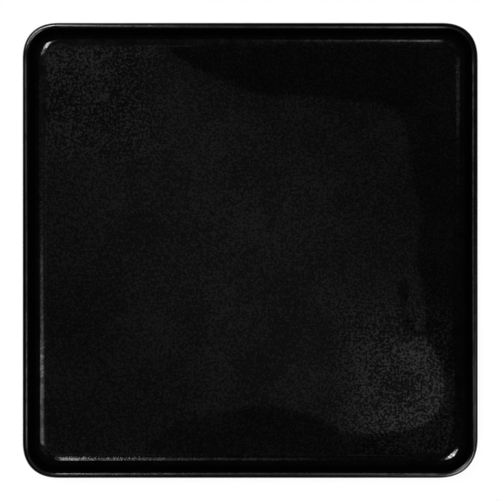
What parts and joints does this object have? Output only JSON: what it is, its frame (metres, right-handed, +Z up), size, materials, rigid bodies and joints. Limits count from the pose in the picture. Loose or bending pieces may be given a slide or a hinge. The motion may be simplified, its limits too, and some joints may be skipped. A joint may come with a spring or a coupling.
{
  "type": "square dinner plate",
  "caption": "Square stoneware dinner plate with rounded corners, a low upstand wall, a half round lip and a flat well in speckled black glaze, on a bare foot ring.",
  "frame": {"origin": "middle of the plane that the foot ring stands on", "axes": "+Z up out of the well, +X and +Y square to two neighbouring sides"},
  "size_m": [0.27, 0.27, 0.02],
  "materials": {
    "stoneware": "bare fired clay, fine grained",
    "speckled_glaze": "satin black with fine grey speckle",
    "plain_glaze": "plain satin black"
  },
  "bodies": {
    "root": {"stoneware_body": "stoneware", "face_glaze": "speckled_glaze", "underside_glaze": "plain_glaze", "recess_glaze": "plain_glaze"}
  },
  "joints": []
}
